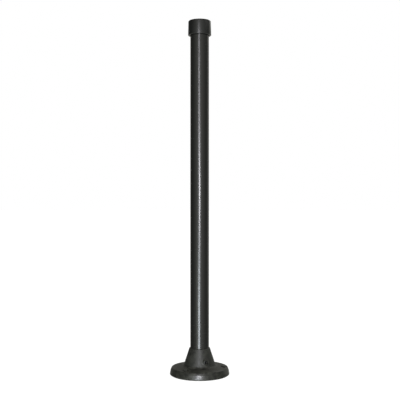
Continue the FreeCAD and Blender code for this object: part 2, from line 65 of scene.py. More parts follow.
BASE_R = 79.96 * MM
RIM_TOP_Z = 20.2 * MM
RIM_TOP_R = BASE_R - 4.7 * MM
RIM_SHOULDER_Z = 13.4 * MM
RIM_SHOULDER_R = BASE_R - 1.85 * MM
RIM_BELLY_Z = 7.0 * MM
RIM_BELLY_R = BASE_R - 0.65 * MM
SOCKET_R = TUBE_R + 0.25 * MM
LIP_R = SOCKET_R + 2.2 * MM
CONE_FOOT_R = LIP_R + 15.7 * MM
CONE_FOOT_Z = RIM_TOP_Z + 4.3 * MM
DRAIN_R = TUBE_R - 4.0 * MM
DISH_R = BASE_R - 31.0 * MM
DISH_Z = CASTING_LOW.z + 4.0 * MM
GROOVE_OUT_R = BASE_R - 3.0 * MM
GROOVE_IN_R = GROOVE_OUT_R - 6.0 * MM
ANCHOR_R = BASE_R - 15.0 * MM
ANCHOR_HOLE_R = 4.5 * MM
ANCHOR_SEAT_R = 8.25 * MM
ANCHOR_SEAT_Z = RIM_TOP_Z + 0.2 * MM

SCREW_Z = 39.0 * MM
SCREW_ANGLES = {"front": -60.0, "back": 60.0}
SCREW_TIP_R = TUBE_R + 0.05 * MM
SCREW_LENGTH = 10.0 * MM
SCREW_R = 3.95 * MM
TAPPED_R = 4.0 * MM
THREAD_PITCH = 1.25 * MM
THREAD_ROOT_R = 3.35 * MM
HEX_KEY = 4.0 * MM
HEX_DEPTH = 4.0 * MM
RECESS_FLOOR_R = SOCKET_R + 11.0 * MM
RECESS_R = 5.0 * MM
BOSS_FACE_R = RECESS_FLOOR_R + 5.75 * MM

CAP_R = (CAP_HIGH.x - CAP_LOW.x) / 2
CAP_TOP_R = CAP_R - 0.85 * MM
CAP_EDGE_Z = CAP_HIGH.z - 1.3 * MM
CAP_BORE_R = TUBE_R + 0.45 * MM
CAP_BEAD_R = TUBE_R + 0.05 * MM


# ---------------------------------------------------------------- working on a mesh
def open_piece(piece):
    """Goes into edit mode on one piece, with nothing selected in it."""
    bpy.ops.object.select_all(action="DESELECT")
    piece.select_set(True)
    bpy.context.view_layer.objects.active = piece
    bpy.ops.object.mode_set(mode="EDIT")
    bpy.ops.mesh.select_all(action="DESELECT")


def close_piece():
    bpy.ops.object.mode_set(mode="OBJECT")
    bpy.ops.object.select_all(action="DESELECT")


def pick(piece, kind, test):
    """Selects only the vertices, edges or faces whose middle passes the test."""
    bpy.ops.mesh.select_mode(type=kind)
    bpy.ops.mesh.select_all(action="DESELECT")
    mesh = bmesh.from_edit_mesh(piece.data)
    parts = {"VERT": mesh.verts, "EDGE": mesh.edges, "FACE": mesh.faces}[kind]
    for part in parts:
        corners = [part] if kind == "VERT" else part.verts
        part.select = bool(test(sum((c.co for c in corners), Vector()) / len(corners)))
    mesh.select_flush_mode()
    bmesh.update_edit_mesh(piece.data)


def at(radius, height, slack=1e-6):
    """A test for the points at a radius and height in the half section."""
    return lambda p: abs(p.x - radius) < slack and abs(p.z - height) < slack


def cut_length(before, corner, after):
    """How much a fillet takes off each side of a corner of the half section."""
    arriving = Vector((corner[0] - before[0], corner[1] - before[1]))
    leaving = Vector((after[0] - corner[0], after[1] - corner[1]))
    return corner[2] * math.tan(arriving.angle(leaving) / 2)


def turn_solid(name, corners, steps, closed=False, arc=5):
    """A turned solid: its half section is drawn corner by corner, filleted and spun round Z.

    A corner is (radius, height) or (radius, height, fillet radius). A section that is not
    closed starts and ends on the axis.
    """
    bpy.ops.object.select_all(action="DESELECT")
    bpy.ops.mesh.primitive_plane_add(size=MM)
    piece = bpy.context.object
    piece.name = name
    bpy.ops.object.mode_set(mode="EDIT")
    bpy.ops.mesh.select_mode(type="VERT")
    bpy.ops.mesh.select_all(action="SELECT")
    bpy.ops.mesh.merge(type="CENTER")
    radius, height = corners[0][:2]
    bpy.ops.transform.translate(value=(radius, 0, height))
    for corner in corners[1:]:
        step = (corner[0] - radius, 0, corner[1] - height)
        bpy.ops.mesh.extrude_region_move(TRANSFORM_OT_translate={"value": step})
        radius, height = corner[:2]
    if closed:
        first, last = at(*corners[0][:2]), at(*corners[-1][:2])
        pick(piece, "VERT", lambda p: first(p) or last(p))
        bpy.ops.mesh.edge_face_add()
    for index, corner in enumerate(corners):
        if len(corner) == 3:
            cut = cut_length(corners[index - 1], corner, corners[(index + 1) % len(corners)])
            pick(piece, "VERT", at(corner[0], corner[1]))
            bpy.ops.mesh.bevel(offset=cut, segments=arc, affect="VERTICES")
    bpy.ops.mesh.select_all(action="SELECT")
    bpy.ops.mesh.spin(steps=steps, angle=TURN, center=(0, 0, 0), axis=(0, 0, 1))
    bpy.ops.mesh.select_all(action="SELECT")
    bpy.ops.mesh.remove_doubles(threshold=1e-7)
    bpy.ops.mesh.normals_make_consistent(inside=False)
    close_piece()
    return piece


def settle(piece, turn=(0, 0, 0), move=(0, 0, 0)):
    """Turns and moves a piece, and leaves its object at the origin, unturned."""
    bpy.ops.object.select_all(action="DESELECT")
    piece.select_set(True)
    bpy.context.view_layer.objects.active = piece
    piece.rotation_euler = turn
    piece.location = move
    bpy.ops.object.transform_apply(location=True, rotation=True, scale=True)
    piece.select_set(False)


def twin(piece, name):
    """A copy of a piece with a mesh of its own."""
    other = piece.copy()
    other.data = piece.data.copy()
    other.name = name
    bpy.context.scene.collection.objects.link(other)
    return other


def join(pieces):
    """Makes several pieces one; the first gives its name."""
    bpy.ops.object.select_all(action="DESELECT")
    for piece in pieces:
        piece.select_set(True)
    bpy.context.view_layer.objects.active = pieces[0]
    bpy.ops.object.join()
    bpy.ops.object.select_all(action="DESELECT")
    return pieces[0]


def modify(piece, kind, **settings):
    """Adds a modifier with its settings and applies it."""
    bpy.context.view_layer.objects.active = piece
    modifier = piece.modifiers.new(kind.lower(), kind)
    for key, value in settings.items():
        setattr(modifier, key, value)
    bpy.ops.object.modifier_apply(modifier=modifier.name)


def boolean(piece, tool, operation="DIFFERENCE"):
    """Cuts a piece with a tool, or joins or trims it, and removes the tool."""
    modify(piece, "BOOLEAN", object=tool, operation=operation, solver="EXACT")
    bpy.data.objects.remove(tool)


def smooth_shade(piece, degrees=35):
    """Shades a piece smooth, apart from its real edges."""
    bpy.ops.object.select_all(action="DESELECT")
    piece.select_set(True)
    bpy.context.view_layer.objects.active = piece
    bpy.ops.object.shade_smooth_by_angle(angle=math.radians(degrees))
    piece.select_set(False)


def fit(piece, body, material, nodes):
    """Puts a finished piece on its body, in place of its CAD nodes, with its finish."""
    piece.data.materials.clear()
    piece.data.materials.append(material)
    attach(piece, body)
    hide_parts(*nodes)


# ---------------------------------------------------------------- the cast base
VOXEL = 0.9 * MM
# What the sand leaves on the casting: a name, how wide its humps are and how high.
SAND = (("sand_waves", 14 * MM, 0.20 * MM), ("sand_bite", 4 * MM, 0.08 * MM))
# The cast fillet at a boss's foot: from this far out on the screw's axis to this short of the
# boss's face, and between these two distances aside from the axis.
BOSS_FOOT_FROM = 28 * MM
BOSS_FOOT_TO = 2.2 * MM
BOSS_FOOT_INSIDE = 6.5 * MM
BOSS_FOOT_OUTSIDE = 14 * MM
BOSS_ROOT_R = SOCKET_R + 5.0 * MM
BOSS_FACE_RADIUS = 6.2 * MM
BOSS_CHAMFER = 0.8 * MM
BOSS_DRAFT = math.radians(24)


def lay_on_screw_axis(piece, side):
    """Lays a piece that was turned upright along a set screw's axis."""
    settle(piece, turn=(0, math.pi / 2, 0))
    settle(piece, turn=(0, 0, math.radians(SCREW_ANGLES[side])), move=(0, 0, SCREW_Z))


def screw_axis(side):
    angle = math.radians(SCREW_ANGLES[side])
    return Vector((math.cos(angle), math.sin(angle), 0))


def pour_casting():
    """The casting as it leaves the sand: cored, soft at its corners, a little wavy."""
    blank = turn_solid(
        "cast_floor_base",
        [
            (DRAIN_R, DISH_Z),
            (DRAIN_R, CASTING_HIGH.z),
            (LIP_R, CASTING_HIGH.z, 1.2 * MM),
            (CONE_FOOT_R, CONE_FOOT_Z, 6.0 * MM),
            (RIM_TOP_R, RIM_TOP_Z, 3.0 * MM),
            (RIM_SHOULDER_R, RIM_SHOULDER_Z, 1.5 * MM),
            (RIM_BELLY_R, RIM_BELLY_Z, 30 * MM),
            (BASE_R, CASTING_LOW.z, 0.9 * MM),
            (DISH_R, CASTING_LOW.z, 0.8 * MM),
            (DISH_R, DISH_Z, 2.0 * MM),
        ],
        steps=192,
        closed=True,
    )
    side_r = BOSS_FACE_RADIUS + BOSS_CHAMFER
    side_x = BOSS_FACE_R - BOSS_CHAMFER
    boss = turn_solid(
        "boss",
        [
            (0, BOSS_ROOT_R),
            (side_r + (side_x - BOSS_ROOT_R) * math.tan(BOSS_DRAFT), BOSS_ROOT_R),
            (side_r, side_x),
            (BOSS_FACE_RADIUS, BOSS_FACE_R),
            (0, BOSS_FACE_R),
        ],
        steps=64,
    )
    other_boss = twin(boss, "other_boss")
    lay_on_screw_axis(boss, "front")
    lay_on_screw_axis(other_boss, "back")
    casting = join([blank, boss, other_boss])
    modify(casting, "REMESH", mode="VOXEL", voxel_size=VOXEL, adaptivity=0)
    soften_boss_feet(casting)
    for name, size, depth in SAND:
        sand = bpy.data.textures.new(name, "CLOUDS")
        sand.noise_scale = size
        modify(casting, "DISPLACE", texture=sand, strength=depth, mid_level=0.7)
    return casting


def soften_boss_feet(casting):
    """Works the sharp corner between each boss and the cone into a cast fillet."""
    open_piece(casting)
    axes = [screw_axis(side) for side in SCREW_ANGLES]

    def near_foot(p):
        low = p - Vector((0, 0, SCREW_Z))
        for axis in axes:
            along = low.dot(axis)
            aside = (low - axis * along).length
            on_height = BOSS_FOOT_FROM < along < BOSS_FACE_R - BOSS_FOOT_TO
            if on_height and BOSS_FOOT_INSIDE < aside < BOSS_FOOT_OUTSIDE:
                return True
        return False

    pick(casting, "VERT", near_foot)
    bpy.ops.mesh.vertices_smooth(factor=0.5, repeat=16)
    close_piece()


def machine_casting(casting):
    """Bores the socket, cuts the ring's groove, and drills and spot-faces the anchor holes."""
    beyond = 4 * MM
    seat_top = ANCHOR_SEAT_Z + 12 * MM
    socket = turn_solid(
        "socket_tool",
        [
            (0, TUBE_LOW.z),
            (SOCKET_R, TUBE_LOW.z),
            (SOCKET_R, CASTING_HIGH.z - 0.6 * MM),
            (SOCKET_R + 0.6 * MM + beyond, CASTING_HIGH.z + beyond),
            (0, CASTING_HIGH.z + beyond),
        ],
        steps=192,
    )
    groove = turn_solid(
        "groove_tool",
        [
            (GROOVE_IN_R, CASTING_LOW.z - beyond),
            (GROOVE_IN_R, RING_HIGH.z, 0.3 * MM),
            (GROOVE_OUT_R, RING_HIGH.z, 0.3 * MM),
            (GROOVE_OUT_R, CASTING_LOW.z - beyond),
        ],
        steps=192,
        closed=True,
        arc=2,
    )
    drill = turn_solid(
        "anchor_drill",
        [
            (0, -beyond),
            (ANCHOR_HOLE_R + 2.6 * MM, CASTING_LOW.z - 2 * MM),
            (ANCHOR_HOLE_R, CASTING_LOW.z + 0.6 * MM),
            (ANCHOR_HOLE_R, ANCHOR_SEAT_Z - 0.5 * MM),
            (ANCHOR_HOLE_R + 0.5 * MM, ANCHOR_SEAT_Z),
            (ANCHOR_SEAT_R - 0.3 * MM, ANCHOR_SEAT_Z),
            (ANCHOR_SEAT_R, ANCHOR_SEAT_Z + 0.3 * MM),
            (ANCHOR_SEAT_R, seat_top),
            (0, seat_top),
        ],
        steps=64,
    )
    drills = [drill, twin(drill, "anchor_drill_2"), twin(drill, "anchor_drill_3")]
    for index, tool in enumerate(drills):
        angle = index * TURN / 3
        settle(tool, move=(ANCHOR_R * math.cos(angle), ANCHOR_R * math.sin(angle), 0))
    boolean(casting, join([socket, groove] + drills))


def tap_screw_holes(casting):
    """Counterbores both bosses and drills a plain hole of the thread's size through to the socket."""
    flare = 6 * MM
    outer_end = BOSS_FACE_R - 0.5 * MM + flare
    hole = turn_solid(
        "tapping_tool",
        [
            (0, DRAIN_R),
            (TAPPED_R, DRAIN_R),
            (TAPPED_R, RECESS_FLOOR_R - 0.4 * MM),
            (TAPPED_R + 0.4 * MM, RECESS_FLOOR_R),
            (RECESS_R, RECESS_FLOOR_R),
            (RECESS_R, BOSS_FACE_R - 0.5 * MM),
            (RECESS_R + flare, outer_end),
            (0, outer_end),
        ],
        steps=64,
    )
    other_hole = twin(hole, "other_tapping_tool")
    lay_on_screw_axis(hole, "front")
    lay_on_screw_axis(other_hole, "back")
    boolean(casting, join([hole, other_hole]))


def make_casting(material):
    casting = pour_casting()
    machine_casting(casting)
    tap_screw_holes(casting)
    smooth_shade(casting, 40)
    fit(casting, "base", material, ["base_casting"])


# ---------------------------------------------------------------- the floor ring
def make_floor_ring(material):
    """An endless rubber ring, with two drip grooves in the face that it stands on."""
    inner, outer = GROOVE_IN_R + 0.1 * MM, GROOVE_OUT_R - 0.1 * MM
    section = [
        (inner, RING_HIGH.z),
        (inner, RING_LOW.z, 0.7 * MM),
    ]
    for middle in (inner + 2.0 * MM, outer - 2.0 * MM):
        section += [
            (middle - 0.5 * MM, RING_LOW.z),
            (middle, RING_LOW.z + 0.5 * MM, 0.2 * MM),
            (middle + 0.5 * MM, RING_LOW.z),
        ]
    section += [
        (outer, RING_LOW.z, 0.7 * MM),
        (outer, RING_HIGH.z),
    ]
    ring = turn_solid("rubber_floor_ring", section, steps=192, closed=True, arc=4)
    smooth_shade(ring)
    fit(ring, "base", material, ["floor_ring"])


# ---------------------------------------------------------------- the post
def make_post(material):
    """The welded tube, deburred at both ends, with its weld seam inside on +X."""
    low, high = TUBE_LOW.z, TUBE_HIGH.z
    tube = turn_solid(
        "coated_post",
        [
            (TUBE_BORE_R + TUBE_EDGE, low),
            (TUBE_R - TUBE_EDGE, low),
            (TUBE_R, low + TUBE_EDGE),
            (TUBE_R, high - TUBE_EDGE),
            (TUBE_R - TUBE_EDGE, high),
            (TUBE_BORE_R + TUBE_EDGE, high),
            (TUBE_BORE_R, high - TUBE_EDGE),
            (TUBE_BORE_R, low + TUBE_EDGE),
        ],
        steps=192,
        closed=True,
    )
    open_piece(tube)
    # The bead rises in two steps: its foot first, then its crown.
    for half_width, rise in ((1.2 * MM, 0.6 * WELD_BEAD_RISE), (0.3 * MM, 0.4 * WELD_BEAD_RISE)):
        pick(
            tube,
            "VERT",
            lambda p: p.x > 0 and abs(p.y) < half_width and math.hypot(p.x, p.y) < TUBE_BORE_R + 1e-5,
        )
        bpy.ops.transform.translate(value=(-rise, 0, 0))
    close_piece()
    smooth_shade(tube)
    fit(tube, "post", material, ["post_tube"])


# ---------------------------------------------------------------- the cap
def make_cap(material):
    """The moulded cap: domed crown with its gate mark, drafted skirt, gripping beads in the bore."""
    dome_radius = (CAP_TOP_R**2 + (CAP_HIGH.z - CAP_EDGE_Z) ** 2) / (2 * (CAP_HIGH.z - CAP_EDGE_Z))

    def dome(radius):
        return (radius, CAP_HIGH.z - dome_radius + math.sqrt(dome_radius**2 - radius**2))

    gate_r = 3.0 * MM
    section = [
        (0, CAP_HIGH.z - 0.5 * MM),
        (gate_r - 0.3 * MM, CAP_HIGH.z - 0.5 * MM, 0.25 * MM),
        (*dome(gate_r), 0.2 * MM),
    ]
    section += [dome(share * CAP_TOP_R) for share in (0.25, 0.4, 0.55, 0.7, 0.82)]
    section += [
        (CAP_TOP_R, CAP_EDGE_Z, 3.0 * MM),
        (CAP_R, CAP_LOW.z, 1.6 * MM),
        (CAP_BORE_R + 1.0 * MM, CAP_LOW.z),
        (CAP_BORE_R, CAP_LOW.z + 1.0 * MM),
    ]
    for bead in (8 * MM, 19 * MM, 30 * MM):
        foot = CAP_LOW.z + bead
        section += [
            (CAP_BORE_R, foot - 0.2 * MM),
            (CAP_BEAD_R, foot + 0.5 * MM),
            (CAP_BEAD_R, foot + 1.1 * MM),
            (CAP_BORE_R, foot + 1.8 * MM),
        ]
    section += [(CAP_BORE_R, TUBE_HIGH.z), (0, TUBE_HIGH.z)]
    cap = turn_solid("soft_cap", section, steps=160, arc=8)
    smooth_shade(cap)
    fit(cap, "cap", material, ["top_cap"])


# ---------------------------------------------------------------- the set screws
def make_thread_stock(root_r, crest_r, length):
    """A threaded bar standing on the origin, longer than the piece that is cut from it."""
    turns = round(length / THREAD_PITCH) + 2
    bpy.ops.object.select_all(action="DESELECT")
    bpy.ops.mesh.primitive_plane_add(size=MM)
    bar = bpy.context.object
    bar.name = "thread_stock"
    bpy.ops.object.mode_set(mode="EDIT")
    bpy.ops.mesh.select_mode(type="VERT")
    bpy.ops.mesh.select_all(action="SELECT")
    bpy.ops.mesh.merge(type="CENTER")
    depth = crest_r - root_r
    bpy.ops.transform.translate(value=(root_r, 0, -THREAD_PITCH))
    for out, up in ((0, 0.16), (depth, 0.36), (0, 0.12), (-depth, 0.36)):
        move = (out, 0, up * THREAD_PITCH)
        bpy.ops.mesh.extrude_region_move(TRANSFORM_OT_translate={"value": move})
    close_piece()
    modify(
        bar,
        "SCREW",
        screw_offset=THREAD_PITCH,
        iterations=turns,
        steps=40,
        render_steps=40,
        use_merge_vertices=True,
        merge_threshold=1e-6,
        use_normal_calculate=True,
    )
    open_piece(bar)
    bpy.ops.mesh.select_all(action="SELECT")
    bpy.ops.mesh.remove_doubles(threshold=2e-6)
    for is_end in (lambda edge_z: edge_z < length / 2, lambda edge_z: edge_z > length / 2):
        bpy.ops.mesh.select_mode(type="EDGE")
        bpy.ops.mesh.select_all(action="DESELECT")
        mesh = bmesh.from_edit_mesh(bar.data)
        for edge in mesh.edges:
            edge.select = edge.is_boundary and is_end(edge.verts[0].co.z)
        bmesh.update_edit_mesh(bar.data)
        bpy.ops.mesh.extrude_region_move()
        bpy.ops.mesh.merge(type="CENTER")
    bpy.ops.mesh.select_all(action="SELECT")
    bpy.ops.mesh.normals_make_consistent(inside=False)
    close_piece()
    return bar


def make_screws(material):
    """M8 socket set screws with cup points: threads, hexagon socket and cup are real shapes."""
    bar = make_thread_stock(THREAD_ROOT_R, SCREW_R, SCREW_LENGTH)
    clear_r = SCREW_R + 0.02 * MM
    envelope = turn_solid(
        "screw_envelope",
        [
            (0, 0),
            (SCREW_R - 1.2 * MM, 0),
            (clear_r, 1.2 * MM),
            (clear_r, SCREW_LENGTH - 0.6 * MM),
            (SCREW_R - 0.6 * MM, SCREW_LENGTH),
            (0, SCREW_LENGTH),
        ],
        steps=64,
    )
    boolean(bar, envelope, "INTERSECT")
    bpy.ops.mesh.primitive_cylinder_add(
        vertices=6,
        radius=HEX_KEY / 2 / math.cos(math.radians(30)),
        depth=2 * HEX_DEPTH,
        location=(0, 0, SCREW_LENGTH),
    )
    key = bpy.context.object
    settle(key, move=key.location)
    cup = turn_solid(
        "cup_tool", [(0, -MM), (3.0 * MM, -MM), (2.0 * MM, 0), (0, 1.0 * MM)], steps=48
    )
    boolean(bar, key)
    boolean(bar, cup)
    for side in SCREW_ANGLES:
        screw = twin(bar, f"grub_screw_{side}")
        settle(screw, move=(0, 0, SCREW_TIP_R))
        lay_on_screw_axis(screw, side)
        smooth_shade(screw, 30)
        fit(screw, f"screw_{side}", material, [f"set_screw_{side}"])
    bpy.data.objects.remove(bar)


# ---------------------------------------------------------------- camera, lights and floor
CAMERA_AZIMUTH = 5.0
CAMERA_DISTANCE = 2.0
CAMERA_HEIGHT = 0.468
CAMERA_LENS = 67.0
CAMERA_SHIFT = 0.0009


def around(azimuth, distance, height):
    """A place round the post: azimuth 0 is in front, along -Y, and grows towards +X."""
    angle = math.radians(azimuth)
    return Vector((distance * math.sin(angle), -distance * math.cos(angle), height))


def make_camera():
    lens = bpy.data.cameras.new("camera")
    lens.lens = CAMERA_LENS
    lens.sensor_width = 36.0
    lens.shift_x = CAMERA_SHIFT
    lens.clip_start = 0.05
    camera = bpy.data.objects.new("camera", lens)
    bpy.context.scene.collection.objects.link(camera)
    camera.location = around(CAMERA_AZIMUTH, CAMERA_DISTANCE, CAMERA_HEIGHT)
    camera.rotation_euler = (math.pi / 2, 0, math.radians(CAMERA_AZIMUTH))
    bpy.context.scene.camera = camera


def add_softbox(name, azimuth, distance, height, size, radiance, color, aim_height):
    """A rectangular studio light.

    Its azimuth is counted from the camera's, and its power comes from how bright it looks.
    """
    width, tall = size
    lamp = bpy.data.lights.new(name, "AREA")
    lamp.shape = "RECTANGLE"
    lamp.size, lamp.size_y = size
    lamp.energy = radiance * math.pi * width * tall
    lamp.color = srgb(color)[:3]
    place = around(CAMERA_AZIMUTH + azimuth, distance, height)
    light = bpy.data.objects.new(name, lamp)
    bpy.context.scene.collection.objects.link(light)
    light.location = place
    light.rotation_euler = (Vector((0, 0, aim_height)) - place).to_track_quat("-Z", "Y").to_euler()


SOFTBOXES = (
    # name, azimuth, distance, height, (width, height), brightness, colour, height aimed at
    ("strip at camera height", 0.0, 2.3, 0.52, (0.07, 0.30), 300, "#FBFAFF", 0.52),
    ("upper strip", -7.0, 5.0, 1.43, (0.43, 1.27), 26, "#F8F6FF", 1.43),
    ("lower strip", -6.5, 2.3, -0.26, (0.40, 0.70), 31, "#F0F8FF", -0.26),
    ("wide panel beside the lower strip", -28.0, 2.3, -0.30, (0.80, 0.80), 1.1, "#F4FFF0", -0.30),
    ("high panel right", 80.0, 4.0, 2.70, (2.60, 0.90), 0.9, "#FFFFF8", 0.0),
    ("high panel behind", 146.0, 2.2, 1.90, (1.50, 0.90), 1.3, "#FFFFF8", 0.0),
    ("narrow box behind right", 118.0, 1.8, 0.70, (0.70, 1.60), 0.32, "#FFFFF8", 0.45),
)
FLOOR_WIDTH = 60.0
GLOW_COLOR = "#FFFFF6"
GLOW_ALL_ROUND = 0.05
GLOW_BELOW = 0.6
GLOWS = (
    # azimuth of the middle, strength there, how tight it is
    (CAMERA_AZIMUTH, 1.0, 3.0),
    (CAMERA_AZIMUTH + 165.0, 0.42, 5.0),
)


def make_studio():
    for softbox in SOFTBOXES:
        add_softbox(*softbox)
    world = bpy.data.worlds.new("studio")
    bpy.context.scene.world = world
    world.use_nodes = True
    tree = world.node_tree
    tree.nodes.clear()
    output = add_node(tree, "ShaderNodeOutputWorld")
    # A white backdrop to look at. What lights the object is a dim room, brightest on the
    # camera's side and below.
    seen = add_node(tree, "ShaderNodeBackground", {"Color": srgb("#FFFFFF"), "Strength": 1.0})
    place = add_node(tree, "ShaderNodeTexCoord")
    total = GLOW_ALL_ROUND
    for azimuth, strength, tightness in GLOWS:
        facing = add_node(
            tree,
            "ShaderNodeVectorMath",
            {0: place.outputs["Generated"], 1: around(azimuth, 1, 0)},
            operation="DOT_PRODUCT",
        ).outputs["Value"]
        half = add_node(tree, "ShaderNodeMath", {0: facing, 1: 0.5, 2: 0.5}, operation="MULTIPLY_ADD")
        lobe = add_node(tree, "ShaderNodeMath", {0: half.outputs[0], 1: tightness}, operation="POWER")
        total = add_node(
            tree, "ShaderNodeMath", {0: lobe.outputs[0], 1: strength, 2: total}, operation="MULTIPLY_ADD"
        ).outputs[0]
    height = add_node(tree, "ShaderNodeSeparateXYZ", {"Vector": place.outputs["Generated"]}).outputs["Z"]
    below = add_node(
        tree,
        "ShaderNodeMapRange",
        {"Value": height, "From Min": -0.25, "From Max": -0.60, "To Min": 0.0, "To Max": GLOW_BELOW},
    ).outputs[0]
    total = add_node(tree, "ShaderNodeMath", {0: total, 1: below}, operation="ADD").outputs[0]
    room = add_node(tree, "ShaderNodeBackground", {"Color": srgb(GLOW_COLOR), "Strength": total})
    path = add_node(tree, "ShaderNodeLightPath")
    add_node(
        tree,
        "ShaderNodeMixShader",
        {0: path.outputs["Is Camera Ray"], 1: room.outputs[0], 2: seen.outputs[0]},
        to=output.inputs["Surface"],
    )
    bpy.context.scene.view_settings.view_transform = "Standard"


def make_floor():
    """A white paper floor. It neither hides the low strip light nor shows in the post."""
    bpy.ops.object.select_all(action="DESELECT")
    bpy.ops.mesh.primitive_plane_add(size=FLOOR_WIDTH, location=(0, 0, 0))
    floor = bpy.context.object
    floor.name = "floor"
    floor.visible_glossy = False
    floor.visible_shadow = False
    paper, tree, output = new_material("white_studio_paper")
    matt = add_node(tree, "ShaderNodeBsdfDiffuse", {"Color": srgb("#959595")})
    glow = add_node(tree, "ShaderNodeEmission", {"Color": srgb("#FFFFFF"), "Strength": 0.95})
    bright = add_node(tree, "ShaderNodeAddShader", {0: matt.outputs[0], 1: glow.outputs[0]})
    path = add_node(tree, "ShaderNodeLightPath")
    add_node(
        tree,
        "ShaderNodeMixShader",
        {0: path.outputs["Is Camera Ray"], 1: matt.outputs[0], 2: bright.outputs[0]},
        to=output.inputs["Surface"],
    )
    floor.data.materials.append(paper)


# ---------------------------------------------------------------- materials
def srgb(code):
    """A colour given as an sRGB hex value, turned to linear."""
    channels = [int(code[i : i + 2], 16) / 255 for i in (1, 3, 5)]
    return (*(c / 12.92 if c <= 0.04045 else ((c + 0.055) / 1.055) ** 2.4 for c in channels), 1.0)


def add_node(tree, kind, inputs=None, to=None, **settings):
    """Adds a node with its settings, values and links: an input is a value or another node's output."""
    node = tree.nodes.new(kind)
    for key, value in settings.items():
        setattr(node, key, value)
    for key, value in (inputs or {}).items():
        if isinstance(value, bpy.types.NodeSocket):
            tree.links.new(value, node.inputs[key])
        else:
            node.inputs[key].default_value = value
    if to is not None:
        tree.links.new(node.outputs[0], to)
    return node


def new_material(name):
    """An empty node material: the material, its tree and its output node."""
    material = bpy.data.materials.new(name)
    material.use_nodes = True
    tree = material.node_tree
    tree.nodes.clear()
    return material, tree, add_node(tree, "ShaderNodeOutputMaterial")


def per_metre(millimetres):
    """The scale of a texture on Object coordinates whose features are that many millimetres wide."""
    return 1 / (millimetres * MM)


def powder_coat():
    """Satin polyester powder coat, sprayed on the tube and baked.

    The melted powder flows out to a tight skin with a very faint orange peel, so highlights stay
    straight and narrow; handling leaves wide greasy patches, and shoes and mops scuff the foot.
    """
    material, tree, output = new_material("baked_polyester_powder_coat")
    place = add_node(tree, "ShaderNodeTexCoord").outputs["Object"]
    # Flow of the melt: bands some 60 mm long down the tube and 20 mm round it.
    long_ways = add_node(tree, "ShaderNodeMapping", {"Vector": place, "Scale": (1, 1, 0.3)}).outputs[0]
    flow = add_node(
        tree, "ShaderNodeTexNoise", {"Vector": long_ways, "Scale": per_metre(20), "Detail": 1.0}
    ).outputs[0]
    # Finger marks and wiped patches, 30 mm and up.
    smudge = add_node(
        tree,
        "ShaderNodeTexNoise",
        {"Vector": place, "Scale": per_metre(30), "Detail": 2.0, "Distortion": 1.2},
    ).outputs[0]
    greasy = add_node(
        tree,
        "ShaderNodeMapRange",
        {"Value": smudge, "From Min": 0.52, "From Max": 0.72, "To Min": 0.0, "To Max": 1.0},
    ).outputs[0]
    # Scuffs: thin slanting scratches, thick at the foot and gone 125 mm above the base.
    height = add_node(tree, "ShaderNodeSeparateXYZ", {"Vector": place}).outputs["Z"]
    low_down = add_node(
        tree,
        "ShaderNodeMapRange",
        {"Value": height, "From Min": 0.075, "From Max": 0.20, "To Min": 0.8, "To Max": 0.0},
    ).outputs[0]
    slanting = add_node(
        tree,
        "ShaderNodeMapping",
        {"Vector": place, "Rotation": (0.5, 0.3, 0), "Scale": (1, 1, 9)},
    ).outputs[0]
    scratch = add_node(
        tree, "ShaderNodeTexNoise", {"Vector": slanting, "Scale": per_metre(14), "Detail": 5.0}
    ).outputs[0]
    scratched = add_node(
        tree,
        "ShaderNodeMapRange",
        {"Value": scratch, "From Min": 0.64, "From Max": 0.70, "To Min": 0.0, "To Max": 1.0},
    ).outputs[0]
    scuffed = add_node(
        tree, "ShaderNodeMath", {0: scratched, 1: low_down}, operation="MULTIPLY"
    ).outputs[0]
    # Dust that settled into the wet powder: nibs of 0.3 mm, 9 mm apart, drawn 1.2 mm wide so that
    # they show.
    nib = add_node(
        tree, "ShaderNodeTexVoronoi", {"Vector": place, "Scale": per_metre(9), "Randomness": 1.0}
    ).outputs["Distance"]
    nibs = add_node(
        tree,
        "ShaderNodeMapRange",
        {"Value": nib, "From Min": 0.0, "From Max": 0.07, "To Min": 1.0, "To Max": 0.0},
    ).outputs[0]
    color = add_node(
        tree,
        "ShaderNodeMix",
        {0: scuffed, 6: srgb("#0C0D0C"), 7: srgb("#2C2C2C")},
        data_type="RGBA",
    ).outputs[2]
    rough = add_node(
        tree,
        "ShaderNodeMapRange",
        {"Value": flow, "From Min": 0.3, "From Max": 0.7, "To Min": 0.240, "To Max": 0.262},
    ).outputs[0]
    for mark, added in ((greasy, 0.02), (scuffed, 0.12)):
        rough = add_node(
            tree, "ShaderNodeMath", {0: mark, 1: added, 2: rough}, operation="MULTIPLY_ADD"
        ).outputs[0]
    # Orange peel of such a coat is 2 to 3 mm from hump to hump and a few microns deep.
    peel = add_node(
        tree, "ShaderNodeTexNoise", {"Vector": place, "Scale": per_metre(2.6), "Detail": 1.0}
    ).outputs[0]
    bump = add_node(
        tree, "ShaderNodeBump", {"Height": peel, "Distance": 0.003 * MM, "Strength": 1.0}
    ).outputs[0]
    bump = add_node(
        tree, "ShaderNodeBump", {"Height": nibs, "Distance": 0.012 * MM, "Strength": 1.0, "Normal": bump}
    ).outputs[0]
    add_node(
        tree,
        "ShaderNodeBsdfPrincipled",
        {"Base Color": color, "Roughness": rough, "IOR": 1.5, "Normal": bump},
        to=output.inputs["Surface"],
    )
    return material


